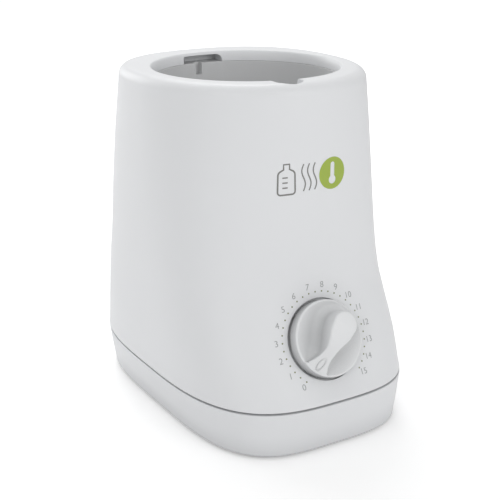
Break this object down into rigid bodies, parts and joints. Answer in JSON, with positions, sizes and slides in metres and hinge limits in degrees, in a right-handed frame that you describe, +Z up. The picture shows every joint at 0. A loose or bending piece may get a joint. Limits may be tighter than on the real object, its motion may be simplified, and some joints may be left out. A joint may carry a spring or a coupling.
{
  "type": "bottle warmer",
  "caption": "Electric baby bottle warmer: a white round water bath on a flared base, with a grey reservoir, a rear slot for a bottle hanger and a sloping timer dial on the front.",
  "frame": {"origin": "on the table the feet stand on, under the middle of the base", "axes": "+Z up, -Y towards the front where the dial is, +X to the right as seen from the front"},
  "size_m": [0.1336, 0.1877, 0.1882],
  "materials": {
    "case_white": "smooth satin white",
    "knob_white": "satin white, slightly warmer than the case",
    "bath_grey": "smooth light grey, food-safe",
    "inner_grey": "plain moulded grey",
    "timer_black": "plain moulded black",
    "black_rubber": "matt, non-slip",
    "clear_silicone": "milky, soft",
    "stainless": "brushed",
    "zinc_steel": "zinc plated",
    "ceramic": "off-white, fine-grained"
  },
  "bodies": {
    "case": {"upper_housing": "case_white", "base_shell": "case_white", "foot_front_left": "black_rubber", "foot_front_right": "black_rubber", "foot_rear_left": "black_rubber", "foot_rear_right": "black_rubber", "case_screw_1": "zinc_steel", "case_screw_2": "zinc_steel", "case_screw_3": "zinc_steel", "case_screw_4": "zinc_steel", "cord_bush": "black_rubber", "cord_clamp": "inner_grey", "cord_clamp_screw_1": "zinc_steel", "cord_clamp_screw_2": "zinc_steel", "terminal_block": "ceramic", "terminal_screw_1": "zinc_steel", "terminal_screw_2": "zinc_steel", "reservoir": "bath_grey", "reservoir_screw_1": "zinc_steel", "reservoir_screw_2": "zinc_steel", "reservoir_screw_3": "zinc_steel", "reservoir_screw_4": "zinc_steel", "heating_plate": "stainless", "heating_plate_seal": "clear_silicone", "heater_clamp_ring": "zinc_steel", "heater_clamp_screw_1": "zinc_steel", "heater_clamp_screw_2": "zinc_steel", "heater_clamp_screw_3": "zinc_steel", "heating_element": "stainless", "thermostat": "ceramic", "thermal_fuse": "ceramic", "pump_chamber": "inner_grey", "chamber_seal": "clear_silicone", "chamber_nut": "inner_grey", "shaft_seal": "black_rubber", "pump_grille": "inner_grey", "pump_motor": "zinc_steel", "motor_screw_1": "zinc_steel", "motor_screw_2": "zinc_steel", "timer_plate": "zinc_steel", "timer_body": "timer_black", "timer_screw_1": "zinc_steel", "timer_screw_2": "zinc_steel"},
    "impeller": {"impeller": "inner_grey", "impeller_shaft": "stainless"},
    "dial": {"dial_knob": "knob_white", "timer_shaft": "stainless"}
  },
  "joints": [
    {"name": "knob_turn", "type": "hinge", "parent": "case", "child": "dial", "pos_m": [0, -0.077, 0.056], "axis": [0, 0.907, -0.421], "range_deg": [0, 276.9]},
    {"name": "impeller_spin", "type": "hinge", "parent": "case", "child": "impeller", "pos_m": [0, 0.00115, 0.06], "axis": [0, 0, 1], "continuous": true}
  ]
}
